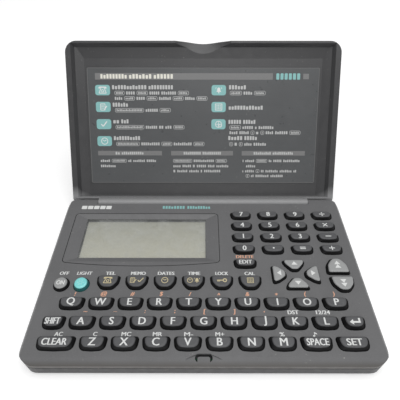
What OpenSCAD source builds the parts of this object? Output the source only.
// Folding electronic organiser: a flat case with a keyboard and a display, and a hinged lid.
// X is to the right, Y to the hinge at the back, Z up. The origin is the centre of the underside.
// The lid is drawn closed and then turned about the hinge to the angle it stands open at.

/* [Case] */
// Width of the case
case_w = 136; // [135.5:0.5:138]
// Front face of the case, measured forward from the origin
case_front = 42; // [42:0.5:44]
// Height of the case's flat top
case_h = 9.7; // [9.7:0.1:10]
// Height of the line where the upper and lower halves meet
seam_z = 6.2; // [6:0.1:6.4]
// Radius of the case's corners seen from above
case_r = 6.5; // [5:0.5:6.5]
// Thickness of the case walls
wall = 1.6; // [1.2:0.1:1.8]
// Thickness of the case's top plate
plate_t = 1.3; // [1.2:0.1:1.4]
// Thickness of the case's floor
floor_t = 1.4; // [1.4:0.1:1.5]

/* [Hinge] */
// Distance of the hinge axis behind the origin
hinge_y = 39.4; // [39.4:0.1:39.8]
// Height of the hinge axis
hinge_z = 8; // [7.9:0.1:8]
// Radius of the lid's hinge barrel
barrel_r = 2.6; // [2.4:0.1:2.6]
// Half the length of the lid's hinge barrel
barrel_half = 52.9; // [50:0.1:52.9]
// Radius of the hinge pins
pin_r = 0.8; // [0.6:0.05:0.8]
// Radial clearance of the barrel on its pins
pin_clearance = 0.05; // [0.02:0.01:0.1]
// Angle that the lid stands open at
lid_open = 126; // [90:1:150]

/* [Lid] */
// Width of the lid
lid_w = 133.9; // [132:0.1:133.9]
// Distance of the closed lid's free edge in front of the origin
lid_front = 39.6; // [39.5:0.1:39.8]
// Thickness of the lid
lid_t = 4.9; // [4.9:0.1:5.5]
// Gap between the closed lid's rim and the case's top
lid_gap = 0.2; // [0.2:0.05:0.3]
// Depth of the hollow inside the lid
lid_hollow = 3.4; // [3.4:0.1:3.5]
// Width and depth of the printed card in the lid
card_size = [115.6, 57.5]; // [100:0.5:116]
// Centre of the card in Y
card_y = 0.9; // [0:0.1:1.5]
// Thickness of the card
card_t = 0.5; // [0.3:0.1:0.6]

/* [Keys] */
// Height that the keys stand above the case's top
key_rise = 1.8; // [1.2:0.1:1.8]
// Travel of the keys
key_travel = 0.8; // [0.4:0.1:0.8]
// Centre distance of the letter keys along a row
letter_pitch = 11.75; // [11.7:0.05:11.9]
// Distance between the rows of letter keys
row_pitch = 8.1; // [8:0.1:8.3]
// Centre of the front row of letter keys in Y
front_row_y = -34.5; // [-34.5:0.1:-34]
// Width and depth of a letter key at its foot
letter_size = [10.5, 5.3]; // [5:0.1:11]
// Centre distances of the number keys in X and Y
number_pitch = [13.15, 6.8]; // [6.7:0.05:13.2]
// Centre of the number pad's back left key
number_origin = [18.3, 28.65]; // [18:0.05:29]
// Width and depth of a number key at its foot
number_size = [10.2, 4.6]; // [4:0.1:10.5]
// Centre distance of the function keys
function_pitch = 11.9; // [11.5:0.1:12]
// Centre of the leftmost function key
function_origin = [-39.9, -8.7]; // [-40:0.1:-8]
// Width and depth of a function key
function_size = [9.6, 6.4]; // [5:0.1:9.8]
// Centre of the four arrow keys
arrows_centre = [39.2, -4.7]; // [-5:0.1:40]

/* [Display] */
// Centre of the display frame
frame_centre = [-27.45, 16.1]; // [-28:0.05:17]
// Width and depth of the display frame
frame_size = [69.1, 28.6]; // [28:0.1:70]
// How far the frame's front edge bows forward at its middle
frame_bow = 1.8; // [0.5:0.1:1.8]
// Width and depth of the visible display
view_size = [57.5, 22.7]; // [22:0.1:58]

/* [Power] */
// Diameter of a coin cell
cell_d = 20; // [19:0.5:20]
// Thickness of a coin cell
cell_t = 3.2; // [2.5:0.1:3.2]
// Centre of the first cell
cell_origin = [-34.5, 24.6]; // [-35:0.1:25]
// Distance between the cells' centres
cell_pitch = 21; // [20.5:0.1:21.5]
// Height of the display's glass above the underside
lcd_top = 7.3; // [7.1:0.1:7.6]

/* [Hidden] */
$fn = 64;
eps = 0.05;
slip = 0.2;
frame_gap = 0.3;
corner_steps = 8;
key_steps = 4;

// Outlines are convex and counterclockwise, and the two functions below share each corner's bisector.
function wrap(p, i) = p[(i + len(p)) % len(p)];
function side_normal(a, b) = [b.y - a.y, a.x - b.x] / norm(b - a);
function bisector(p, i) =
    let (n1 = side_normal(wrap(p, i - 1), p[i]), n2 = side_normal(p[i], wrap(p, i + 1)))
    (n1 + n2) / (1 + n1 * n2);
function grown(p, gap) = [for (i = [0 : len(p) - 1]) p[i] + gap * bisector(p, i)];
function start_angle(p, i) =
    let (n = side_normal(wrap(p, i - 1), p[i]))
    atan2(n.y, n.x);
function turn_angle(p, i) =
    let (n1 = side_normal(wrap(p, i - 1), p[i]), n2 = side_normal(p[i], wrap(p, i + 1)))
    acos(min(1, n1 * n2));
function rounded(p, radii, steps) = [
    for (i = [0 : len(p) - 1], s = [0 : steps])
        let (a = start_angle(p, i) + turn_angle(p, i) * s / steps)
        p[i] - radii[i] * bisector(p, i) + radii[i] * [cos(a), sin(a)]
];
function turned(p, a) = [for (q = p) [q.x * cos(a) - q.y * sin(a), q.x * sin(a) + q.y * cos(a)]];
function box_corners(x0, y0, x1, y1) = [[x0, y0], [x1, y0], [x1, y1], [x0, y1]];

// Heights in the stack, from the floor up
plate_z = case_h - plate_t;
key_z = 7.3;
key_top = case_h + key_rise;
flange_t = 0.9;
flange_w = 0.45;
key_gap = 0.22;
board_z = 5;
board_t = 0.8;
mat_t = 0.3;
dome_gap = 0.2;
dome_h = key_z - key_travel - dome_gap - board_z - board_t - mat_t;
dome_r = 1.8;
cell_z = 1.6;
cover_t = 1.2;
half_w = case_w / 2;
ear_r = case_h - hinge_z;
case_back = hinge_y + ear_r;
notch_half = barrel_half + 0.3;
notch_back = 36.5;
cavity_back = notch_back - wall;
rim_z = case_h + lid_gap;
lid_top = rim_z + lid_t;
lid_half = lid_w / 2;
lid_end = hinge_y - 2.1;
hollow_z = rim_z + lid_hollow;
pin_in = 49;
pin_out = 57;

// Screws, at the corners that the keyboard leaves free
screw_spots = [[-60, 33.6], [60.4, 33.6], [-46.2, -13.9], [48.6, -13.9]];
screw_r = 0.7;
pilot_r = 0.75;
boss_r = 1.25;
post_r = 2.6;
post_z = 0.2;
head_r = 1.5;
head_t = 1;
head_z = 0.5;
screw_l = 5.6;

// Front catch: a springy tab in a shallow recess, with a slot round it
catch_half = 2.3;
slot_w = 0.9;
slot_back = -38;
recess_r = 12.2;
recess_z = case_h - 0.7;
recess_back = -38.1;
slot_front = -40.7;

// Each key is [node, shape, x, y, width, depth, turn]
letter_rows = [["zxcvbnm", -3.5], ["asdfghjkl", -4], ["qwertyuiop", -4.5]];
side_w = 9;
KEYS = concat(
    [for (r = [0 : 2], i = [0 : len(letter_rows[r][0]) - 1])
        [str("key_", letter_rows[r][0][i]), "letter", (letter_rows[r][1] + i) * letter_pitch,
         front_row_y + r * row_pitch, letter_size.x, letter_size.y, 0]],
    [["key_shift", "letter", -57.9, front_row_y + row_pitch, side_w, letter_size.y, 0],
     ["key_enter", "letter", 57.9, front_row_y + row_pitch, side_w, letter_size.y, 0],
     ["key_clear", "letter", -54.95, front_row_y, 14.5, letter_size.y, 0],
     ["key_space", "letter", 41.85, front_row_y, 12, letter_size.y, 0],
     ["key_set", "letter", 55.35, front_row_y, 12.3, letter_size.y, 0],
     ["key_edit", "number", number_origin.x, 0.8, number_size.x, number_size.y, 0],
     ["key_on", "round", -59.2, -9.5, 6.4, 6.4, 0],
     ["key_light", "round", -50.9, -9.5, 6.4, 6.4, 0],
     ["key_up", "moon", arrows_centre.x, arrows_centre.y + 4.4, 10.3, 5.6, 0],
     ["key_down", "moon", arrows_centre.x, arrows_centre.y - 4.4, 10.3, 5.6, 180],
     ["key_left", "moon", arrows_centre.x - 6.95, arrows_centre.y, 9.2, 6.1, 90],
     ["key_right", "moon", arrows_centre.x + 6.95, arrows_centre.y, 9.2, 6.1, -90],
     ["key_page_up", "dome", 57.7, -0.45, 10, 7.9, 180],
     ["key_page_down", "dome", 58.2, -9.4, 10.2, 7.2, 0]]);
NUMBER_KEYS = [for (row = [0 : 3], column = [0 : 3])
    ["", "number", number_origin.x + column * number_pitch.x, number_origin.y - row * number_pitch.y,
     number_size.x, number_size.y, 0]];
FUNCTION_KEYS = [for (i = [0 : 5])
    ["", "half_round", function_origin.x + i * function_pitch, function_origin.y,
     function_size.x, function_size.y, 0]];

// Corners and radii of a key of width w and depth d, with its straight side to the back
function mirrored(p) = concat([for (q = p) [-q.x, q.y]], [for (i = [len(p) - 1 : -1 : 0]) p[i]]);
function key_corners(shape, w, d) =
    shape == "letter" || shape == "number" ?
        [[0.6 - w / 2, 0.3 - d / 2], [0, -d / 2], [w / 2 - 0.6, 0.3 - d / 2], [w / 2, d / 2],
         [-w / 2, d / 2]] :
    shape == "half_round" ?
        mirrored([[0.5 * w, 0.5 * d], [0.47 * w, -0.05 * d], [0.24 * w, -0.5 * d]]) :
    shape == "moon" ?
        mirrored([[0.5 * w, 0.5 * d], [0.4 * w, 0.05 * d], [0.14 * w, -0.5 * d]]) :
        mirrored([[0.5 * w, 0.5 * d], [0.45 * w, -0.05 * d], [0.18 * w, -0.5 * d]]);
function key_radii(shape) =
    shape == "letter" ? [2.3, 10, 2.3, 1.1, 1.1] :
    shape == "number" ? [1.9, 10, 1.9, 1.1, 1.1] :
    shape == "half_round" ? [0.8, 3.2, 2.8, 2.8, 3.2, 0.8] :
    shape == "moon" ? [0.8, 4, 1.9, 1.9, 4, 0.8] : [0.8, 4, 2.6, 2.6, 4, 0.8];

// One key's outline, grown by a gap, as a prism
module key_prism(k, gap, z, height) {
    corners = turned(grown(key_corners(k[1], k[4], k[5]), gap), k[6]);
    radii = [for (r = key_radii(k[1])) r + gap];
    translate([k[2], k[3], z])
        if (k[1] == "round")
            cylinder(r = k[4] / 2 + gap, h = height);
        else
            linear_extrude(height) polygon(rounded(corners, radii, key_steps));
}

module keycap(k) {
    key_prism(k, flange_w, key_z, flange_t);
    key_prism(k, 0, key_z, key_top - key_z);
}

module all_keys(gap, z, height) {
    for (k = concat(KEYS, NUMBER_KEYS, FUNCTION_KEYS)) key_prism(k, gap, z, height);
}

// A prism along X of an outline given as [y, z], and a prism along Y of one given as [x, z]
module along_x(outline, x0, x1) {
    translate([x0, 0, 0]) rotate([90, 0, 90]) linear_extrude(x1 - x0) polygon(outline);
}

module along_y(outline, y0, y1) {
    translate([0, y1, 0]) rotate([90, 0, 0]) linear_extrude(y1 - y0) polygon(outline);
}

module box(x0, y0, z0, x1, y1, z1) {
    translate([x0, y0, z0]) cube([x1 - x0, y1 - y0, z1 - z0]);
}

module rounded_box(x0, y0, z0, x1, y1, z1, r) {
    translate([0, 0, z0])
        linear_extrude(z1 - z0)
        polygon(rounded(box_corners(x0, y0, x1, y1), [r, r, r, r], corner_steps));
}

module hinge_rod(r, x0, x1) {
    translate([x0, hinge_y, hinge_z]) rotate([0, 90, 0]) cylinder(r = r, h = x1 - x0);
}

// The space behind the case that the lid's barrel and back shell turn in
module barrel_notch() {
    box(-notch_half, notch_back, -eps, notch_half, case_back + eps, hinge_z);
    hinge_rod(barrel_r + 0.3, -notch_half, notch_half);
    box(-notch_half, hinge_y, 0, notch_half, case_back + eps, case_h + eps);
}

module bottom_shell_outer() {
    chamfer = 1.5;
    intersection() {
        rounded_box(-half_w, -case_front, 0, half_w, case_back, seam_z, case_r);
        along_y([[-half_w, seam_z], [-half_w, chamfer], [chamfer - half_w, 0], [half_w - chamfer, 0],
                 [half_w, chamfer], [half_w, seam_z]], -case_front - 1, case_back + 1);
        along_x([[-case_front, seam_z], [-case_front, chamfer], [chamfer - case_front, 0],
                 [case_back - chamfer, 0], [case_back, chamfer], [case_back, seam_z]],
                -half_w - 1, half_w + 1);
    }
}

// Battery bay: its cover is a plate with a tongue on each side that runs in grooves of the floor
bay_x0 = cell_origin.x - cell_d / 2 - 1;
bay_x1 = cell_origin.x + cell_pitch + cell_d / 2 + 1;
bay_y0 = cell_origin.y - cell_d / 2 - 0.6;
tongue = 0.8;
tongue_z = 0.6;

module bottom_case() {
    color([0.38, 0.38, 0.385])
        difference() {
            union() {
                difference() {
                    bottom_shell_outer();
                    rounded_box(wall - half_w, wall - case_front, floor_t, half_w - wall, cavity_back,
                                seam_z + eps, case_r - wall);
                    seam_groove();
                }
                for (s = screw_spots)
                    translate([s.x, s.y, post_z])
                        cylinder(r = post_r, h = board_z - slip - post_z);
                bay_walls();
            }
            box(-notch_half, notch_back, -eps, notch_half, case_back + eps, seam_z + eps);
            for (s = screw_spots) translate([s.x, s.y, -eps]) {
                cylinder(r = screw_r + 0.15, h = seam_z);
                cylinder(r = head_r + slip, h = head_z + head_t + eps);
            }
            cover_track();
        }
}

module seam_groove() {
    groove = 0.4;
    difference() {
        box(-half_w - 1, -case_front - 1, seam_z - groove, half_w + 1, case_back + 1, seam_z + eps);
        rounded_box(groove - half_w, groove - case_front, 0, half_w - groove, case_back - groove,
                    seam_z + 1, case_r - groove);
    }
}

module bay_walls() {
    t = 0.8;
    difference() {
        box(bay_x0 - t, bay_y0 - t, 1, bay_x1 + t, cavity_back + eps, board_z - slip);
        box(bay_x0, bay_y0, 0, bay_x1, cavity_back + 1, board_z + 1);
    }
}

module cover_track() {
    box(bay_x0 - slip, bay_y0 - slip, -eps, bay_x1 + slip, case_back, tongue_z + eps);
    box(bay_x0 - tongue - slip, bay_y0 - slip, tongue_z, bay_x1 + tongue + slip, case_back, floor_t);
    box(bay_x0, bay_y0, tongue_z, bay_x1, cavity_back, floor_t + 1);
}

module battery_cover() {
    ribs = 5;
    color([0.36, 0.36, 0.365])
        difference() {
            union() {
                box(bay_x0, bay_y0, 0, bay_x1, notch_back, tongue_z + eps);
                box(bay_x0 - tongue, bay_y0, tongue_z + slip, bay_x1 + tongue, notch_back, cover_t);
                box(bay_x0, bay_y0, tongue_z, bay_x1, notch_back, cover_t);
            }
            for (i = [0 : ribs - 1])
                box(-29, bay_y0 + 3 + 1.6 * i, -eps, -19, bay_y0 + 3.8 + 1.6 * i, 0.3);
        }
}

module top_shell_outer() {
    side_bevel = [half_w - lid_half + 0.2, 1.4];
    front_bevel = [case_front - lid_front + 0.5, 1.7];
    intersection() {
        rounded_box(-half_w, -case_front, seam_z, half_w, case_back, case_h, case_r);
        along_y([[-half_w, seam_z], [half_w, seam_z], [half_w, case_h - side_bevel.y],
                 [half_w - side_bevel.x, case_h], [side_bevel.x - half_w, case_h],
                 [-half_w, case_h - side_bevel.y]], -case_front - 1, case_back + 1);
        union() {
            along_x([[-case_front, seam_z], [hinge_y, seam_z], [hinge_y, case_h],
                     [front_bevel.x - case_front, case_h], [-case_front, case_h - front_bevel.y]],
                    -half_w - 1, half_w + 1);
            box(-half_w - 1, hinge_y - 1, seam_z, half_w + 1, case_back, hinge_z);
            hinge_rod(ear_r, -half_w - 1, half_w + 1);
        }
    }
}

module top_case() {
    color([0.40, 0.40, 0.405])
        difference() {
            union() {
                difference() {
                    top_shell_outer();
                    rounded_box(wall - half_w, wall - case_front, seam_z - eps, half_w - wall, cavity_back,
                                plate_z, case_r - wall);
                }
                for (s = screw_spots)
                    translate([s.x, s.y, board_z]) cylinder(r = boss_r, h = plate_z - board_z + eps);
            }
            barrel_notch();
            all_keys(key_gap, plate_z - 1, plate_t + 2);
            frame_prism(frame_gap, plate_z - 1, plate_t + 2);
            for (s = screw_spots)
                translate([s.x, s.y, board_z - eps]) cylinder(r = pilot_r, h = plate_z - board_z);
            for (s = [-1, 1])
                translate([s * (pin_out + pin_in) / 2, 0, 0])
                    hinge_rod(pin_r - 0.01, (pin_in - pin_out) / 2, (pin_out - pin_in) / 2);
            catch_recess();
        }
}

module catch_recess() {
    intersection() {
        translate([0, recess_back - recess_r, recess_z]) cylinder(r = recess_r, h = 2);
        box(-recess_r, -case_front - 1, 0, recess_r, recess_back + 1, case_h + 1);
    }
    difference() {
        rounded_box(-catch_half - slot_w, slot_front, plate_z - 1, catch_half + slot_w, slot_back,
                    case_h + 1, 1.2);
        rounded_box(-catch_half, slot_front - 3, plate_z - 2, catch_half, slot_back - slot_w,
                    case_h + 2, 0.7);
    }
}

// The display frame's outline, grown by a gap: a rounded rectangle with a bowed front edge
module frame_prism(gap, z, height) {
    w = frame_size.x / 2 + gap;
    d = frame_size.y / 2 + gap;
    chord = w - 1.5;
    bow_r = (chord * chord + frame_bow * frame_bow) / (2 * frame_bow);
    translate([frame_centre.x, frame_centre.y, 0]) {
        rounded_box(-w, -d, z, w, d, z + height, 1.6 + gap);
        intersection() {
            translate([0, bow_r - d - frame_bow, z]) cylinder(r = bow_r, h = height, $fn = 360);
            box(-chord, -d - frame_bow - 1, z, chord, 0, z + height);
        }
    }
}

// A sloping pit with mitred corners, as wide as `top` at its mouth and `view_size` at its foot
module display_pit(top, mouth_z, foot_z) {
    half = view_size / 2;
    intersection() {
        along_y([[-half.x, foot_z], [half.x, foot_z], [top.x / 2, mouth_z], [-top.x / 2, mouth_z]],
                -top.y, top.y);
        along_x([[-half.y, foot_z], [half.y, foot_z], [top.y / 2, mouth_z], [-top.y / 2, mouth_z]],
                -top.x, top.x);
    }
}

window_t = 0.6;
window_z = 8;
lens_size = view_size + [2.4, 2.4];

module display_bezel() {
    ledge = 0.8;
    color([0.39, 0.39, 0.395])
        difference() {
            union() {
                frame_prism(0, window_z, case_h - window_z);
                translate([frame_centre.x, frame_centre.y, 0])
                    box(-frame_size.x / 2 - ledge, -frame_size.y / 2 - ledge, window_z - 0.1,
                        frame_size.x / 2 + ledge, frame_size.y / 2 + ledge, plate_z);
            }
            translate([frame_centre.x, frame_centre.y, 0]) {
                display_pit(frame_size - [0.6, 0.4], case_h + eps, window_z + window_t + 0.2);
                box(-view_size.x / 2, -view_size.y / 2, 0, view_size.x / 2, view_size.y / 2, case_h);
                box(-lens_size.x / 2, -lens_size.y / 2, 0, lens_size.x / 2, lens_size.y / 2,
                    window_z + window_t);
            }
        }
}

module centred_plate(size, z, t) {
    translate([frame_centre.x, frame_centre.y, 0])
        box(-size.x / 2, -size.y / 2, z, size.x / 2, size.y / 2, z + t);
}

module display_window() {
    color([0.8, 0.85, 0.85, 0.4])
        centred_plate(lens_size - [0.1, 0.1], window_z, window_t);
}

lcd_z = 6.5;
lcd_t = lcd_top - lcd_z;
lcd_size = [64, 26.4];
light_size = [60, 22];

module lcd_panel() {
    color([0.66, 0.66, 0.59])
        centred_plate(lcd_size, lcd_z, lcd_t);
}

module backlight_panel() {
    color([0.85, 0.9, 0.85])
        translate([0, 0.8, 0])
        centred_plate(light_size, board_z + board_t, 0.5);
}

module display_connector() {
    color([0.75, 0.45, 0.45])
        translate([frame_centre.x, frame_centre.y - lcd_size.y / 2, board_z + board_t])
        box(-light_size.x / 2, 0.2, 0, light_size.x / 2, 1.6, lcd_z - board_z - board_t);
}

board_half = half_w - wall - 1.6;

module circuit_board() {
    color([0.1, 0.35, 0.2])
        difference() {
            box(-board_half, -39, board_z, board_half, cavity_back - 0.6, board_z + board_t);
            for (s = screw_spots) translate([s.x, s.y, 0]) cylinder(r = boss_r + slip, h = case_h);
        }
}

// Chips, a crystal and capacitors under the board: each is [x, y, width, depth, height]
chips = [[2, -28, 14, 14, 1.4], [-22, -28, 18, 8, 1.2], [22, -22, 10, 7, 1.1], [-44, -30, 8, 3, 2],
         [40, -30, 6, 4, 1.8], [-6, -14, 5, 3, 1], [12, -8, 3, 2, 1], [-30, -10, 3, 2, 1]];

module board_parts() {
    color([0.08, 0.08, 0.09])
        for (c = chips)
            translate([c[0], c[1], 0])
                box(-c[2] / 2, -c[3] / 2, board_z - c[4], c[2] / 2, c[3] / 2, board_z);
}

module key_mat() {
    mat_z = board_z + board_t;
    mat_half = board_half - 0.6;
    shelf_y = frame_centre.y - frame_size.y / 2 - 5.6;
    shelf_x = frame_centre.x + frame_size.x / 2 + 2.6;
    color([0.25, 0.25, 0.27])
        difference() {
            union() {
                box(-mat_half, -38.4, mat_z, mat_half, shelf_y, mat_z + mat_t);
                box(shelf_x, shelf_y - eps, mat_z, mat_half, 32.4, mat_z + mat_t);
                for (k = concat(KEYS, NUMBER_KEYS, FUNCTION_KEYS))
                    translate([k[2], k[3], mat_z]) cylinder(r = dome_r, h = mat_t + dome_h);
            }
            for (s = screw_spots) translate([s.x, s.y, 0]) cylinder(r = boss_r + slip, h = case_h);
        }
}

module buzzer() {
    color([0.8, 0.68, 0.35])
        translate([30, 18, floor_t]) {
            cylinder(r = 9, h = 0.4);
            cylinder(r = 6.5, h = 0.7);
        }
}

module coin_cells() {
    color([0.78, 0.78, 0.76])
        for (i = [0, 1])
            translate([cell_origin.x + i * cell_pitch, cell_origin.y, cell_z]) {
                cylinder(r = cell_d / 2 - 0.7, h = 0.4);
                translate([0, 0, 0.4]) cylinder(r = cell_d / 2, h = cell_t - 0.4);
            }
}

module battery_contacts() {
    strip = 0.15;
    color([0.85, 0.83, 0.75])
        for (i = [0, 1])
            translate([cell_origin.x + i * cell_pitch, cell_origin.y, board_z - strip])
                box(-7, -2, 0, 7, 2, strip);
}

module case_screws() {
    color([0.7, 0.7, 0.7])
        for (s = screw_spots) translate([s.x, s.y, head_z]) {
            difference() {
                cylinder(r = head_r, h = head_t);
                box(-head_r, -0.2, -1, head_r, 0.2, 0.4);
            }
            translate([0, 0, head_t - eps]) cylinder(r = screw_r, h = screw_l);
        }
}

module hinge_pins() {
    color([0.75, 0.75, 0.76])
        for (s = [-1, 1])
            translate([s * (pin_in + pin_out) / 2, 0, 0])
                hinge_rod(pin_r, (pin_in - pin_out) / 2 + 0.1, (pin_out - pin_in) / 2 - 0.1);
}

// Turns what is drawn closed about the hinge to the open angle
module opened() {
    translate([0, hinge_y, hinge_z])
        rotate([-lid_open, 0, 0])
        translate([0, -hinge_y, -hinge_z])
        children();
}

back_r = lid_top - hinge_z;
rim_w = 2.65;
cove = [1.4, 1.9, 4];
front_rim = 1;
front_cove = [1.5, 2.2, 5];
back_wall = 0.7;
back_foot = 1;

// Lower edge of the shell beside the barrel, from the hinge, and the turn at which it ends
lip = [[-0.35, 3], [0.65, 4.5]];
lip_turn = 44;

// Hollow with mitred corners: a steep wall at the rim, then a gentle slope to the floor
module lid_hollow_space() {
    x1 = lid_half - rim_w;
    x2 = x1 - cove[0];
    x3 = x2 - cove[2];
    y1 = front_rim - lid_front;
    y2 = y1 + front_cove[0];
    y3 = y2 + front_cove[2];
    intersection() {
        along_y([[-x3, hollow_z], [-x2, rim_z + cove[1]], [-x1, rim_z - eps], [x1, rim_z - eps],
                 [x2, rim_z + cove[1]], [x3, hollow_z]], -50, 50);
        along_x([[y3, hollow_z], [y2, rim_z + front_cove[1]], [y1, rim_z - eps],
                 [lid_end - back_wall, rim_z - eps], [lid_end - back_foot, hollow_z]],
                -lid_half, lid_half);
    }
}

module lid_shell() {
    edge_r = 3;
    corner_r = 5.5;
    lip_root = lid_end - edge_r - 0.5;
    intersection() {
        rounded_box(-lid_half, -lid_front, rim_z, lid_half, case_back + 10, lid_top, corner_r);
        along_y(rounded(box_corners(-lid_half, 0, lid_half, lid_top), [0.1, 0.1, edge_r, edge_r],
                        corner_steps),
                -lid_front - 1, case_back + 1);
        union() {
            along_x(rounded(box_corners(-lid_front, 0, lid_end, lid_top),
                            [0.1, 0.1, 0.1, edge_r], corner_steps),
                    -lid_half, lid_half);
            along_x(concat([[lip_root, lid_top], [lip_root, rim_z], [lid_end, rim_z]],
                           [for (p = lip) [hinge_y + p.x, hinge_z + p.y]], back_curl(lip_turn)),
                    -lid_half, lid_half);
        }
    }
}

// The shell's outer surface at the back, from a turn above the hinge's level up to the flat top
curl_steps = 16;
curl_y = hinge_y + barrel_r - back_r;
function back_curl(from) = [
    for (i = [0 : curl_steps])
        let (a = from + (90 - from) * i / curl_steps)
        [curl_y + back_r * cos(a), hinge_z + back_r * sin(a)]
];

// Between the case's ears the shell's back curls down to the barrel
module lid_back() {
    web_y = lid_end + 0.1;
    web_foot = lid_end - back_foot;
    along_x(concat([[web_y, hinge_z]], back_curl(0),
                   [[curl_y - 1, lid_top], [curl_y - 1, hollow_z], [web_foot, hollow_z], [web_y, rim_z]]),
            -barrel_half, barrel_half);
    hinge_rod(barrel_r, -barrel_half, barrel_half);
}

// Nail scoop at the middle of the free edge: a shallow part of a sphere
module nail_scoop() {
    scoop_r = 25.66;
    scoop_centre = [0, -41.3, -11.9];
    translate(scoop_centre) sphere(r = scoop_r, $fn = 128);
}

module card_pocket(gap, t) {
    rounded_box(-card_size.x / 2 - gap, card_y - card_size.y / 2 - gap, hollow_z - eps,
                card_size.x / 2 + gap, card_y + card_size.y / 2 + gap, hollow_z + t, 0.8);
}

module lid() {
    pocket = 0.3;
    color([0.24, 0.24, 0.245])
        opened()
        difference() {
            union() {
                lid_shell();
                lid_back();
            }
            lid_hollow_space();
            nail_scoop();
            for (s = [-1, 1])
                translate([s * (pin_in + pin_out) / 2, 0, 0])
                    hinge_rod(pin_r + pin_clearance, (pin_in - pin_out) / 2 - 0.3,
                              (pin_out - pin_in) / 2 + 0.3);
            card_pocket(0.1, pocket);
        }
}

module lid_card() {
    color([0.37, 0.38, 0.385])
        opened()
        rounded_box(-card_size.x / 2, card_y - card_size.y / 2, hollow_z + 0.3 - card_t,
                    card_size.x / 2, card_y + card_size.y / 2, hollow_z + 0.3, 0.8);
}

module number_keys() {
    color([0.16, 0.16, 0.165])
        for (k = NUMBER_KEYS) keycap(k);
}

module function_keys() {
    color([0.16, 0.16, 0.165])
        for (k = FUNCTION_KEYS) keycap(k);
}

module key(k) {
    shade = k[0] == "key_light" ? [0.43, 0.84, 0.82] :
            k[1] == "moon" || k[1] == "dome" || k[0] == "key_on" ?
        [0.59, 0.6, 0.6] : [0.16, 0.16, 0.165];
    color(shade) keycap(k);
}

bottom_case();
top_case();
display_bezel();
display_window();
lcd_panel();
backlight_panel();
display_connector();
circuit_board();
board_parts();
key_mat();
buzzer();
coin_cells();
battery_contacts();
battery_cover();
case_screws();
hinge_pins();
lid();
lid_card();
number_keys();
function_keys();
for (k = KEYS) key(k);
